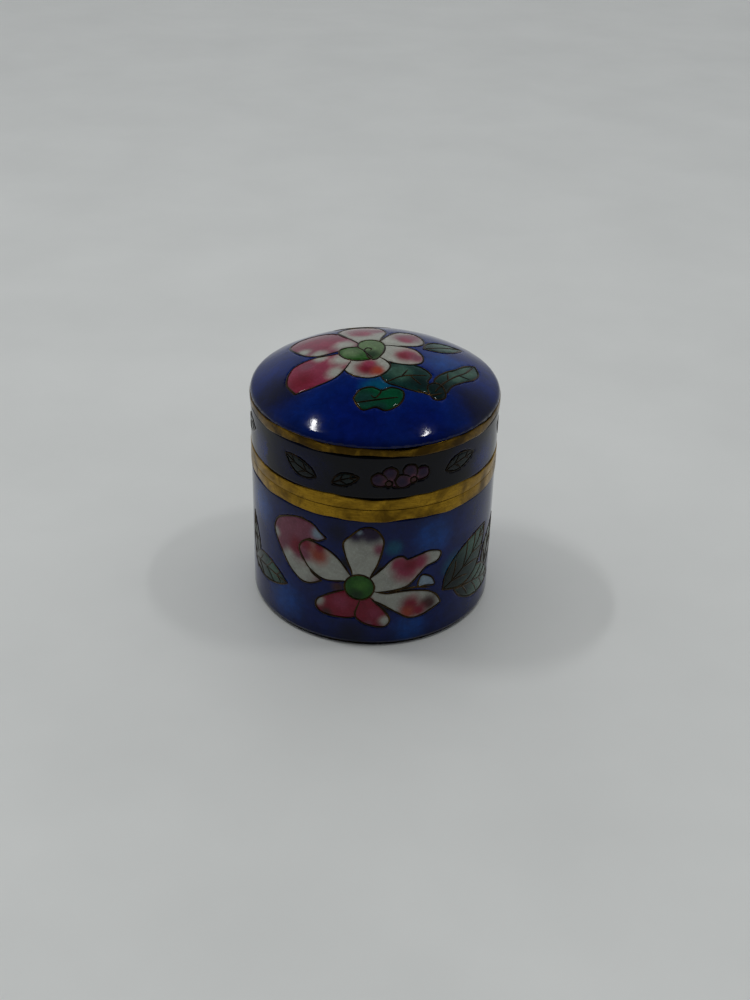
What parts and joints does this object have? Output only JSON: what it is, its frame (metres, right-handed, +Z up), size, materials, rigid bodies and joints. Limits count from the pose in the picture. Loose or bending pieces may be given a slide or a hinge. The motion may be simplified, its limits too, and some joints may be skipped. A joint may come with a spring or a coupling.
{
  "type": "pill box",
  "caption": "Round enamelled pill box: a copper base and domed lift-off lid, each with a brass rim ring, a brass collar that guides the lid, and flower cells in coloured enamel.",
  "frame": {"origin": "centre of the foot ring's underside, where the box stands", "axes": "+Z up along the box's axis, -Y towards the front with the wall flower, +X to the right seen from the front"},
  "size_m": [0.0322, 0.0322, 0.0348],
  "materials": {
    "copper": "copper sheet, bare edges browned",
    "collar_brass": "satin, rubbed bright by the lid",
    "ring_brass": "polished, olive tarnish",
    "wire_brass": "dark tarnished wire",
    "lining_enamel": "glossy mottled blue",
    "ground_enamel": "glossy deep cobalt blue",
    "petal_enamel": "glossy, white shading to rose",
    "bud_enamel": "glossy, dusty rose shading to white",
    "leaf_enamel": "glossy, blue-green to grass green",
    "centre_enamel": "glossy yellow-green"
  },
  "bodies": {
    "base": {"base_cup": "copper", "base_collar": "collar_brass", "base_rim_ring": "ring_brass", "base_foot_ring": "ring_brass", "base_lining_enamel": "lining_enamel", "base_floor_enamel": "lining_enamel", "base_wall_enamel": "ground_enamel", "base_petal_enamel": "petal_enamel", "base_bud_enamel": "bud_enamel", "base_leaf_enamel": "leaf_enamel", "base_flower_centre_enamel": "centre_enamel", "base_wires": "wire_brass"},
    "lid": {"lid_dome": "copper", "lid_rim_ring": "ring_brass", "lid_shoulder_ring": "ring_brass", "lid_lining_enamel": "lining_enamel", "lid_top_enamel": "ground_enamel", "lid_top_petal_enamel": "petal_enamel", "lid_top_leaf_enamel": "leaf_enamel", "lid_top_flower_centre_enamel": "centre_enamel", "lid_top_wires": "wire_brass", "lid_band_enamel": "ground_enamel", "lid_band_petal_enamel": "petal_enamel", "lid_band_leaf_enamel": "leaf_enamel", "lid_band_wires": "wire_brass"}
  },
  "joints": [
    {"name": "lid_lift", "type": "slide", "parent": "base", "child": "lid", "axis": [0, 0, 1], "range_m": [0, 0.022]}
  ]
}
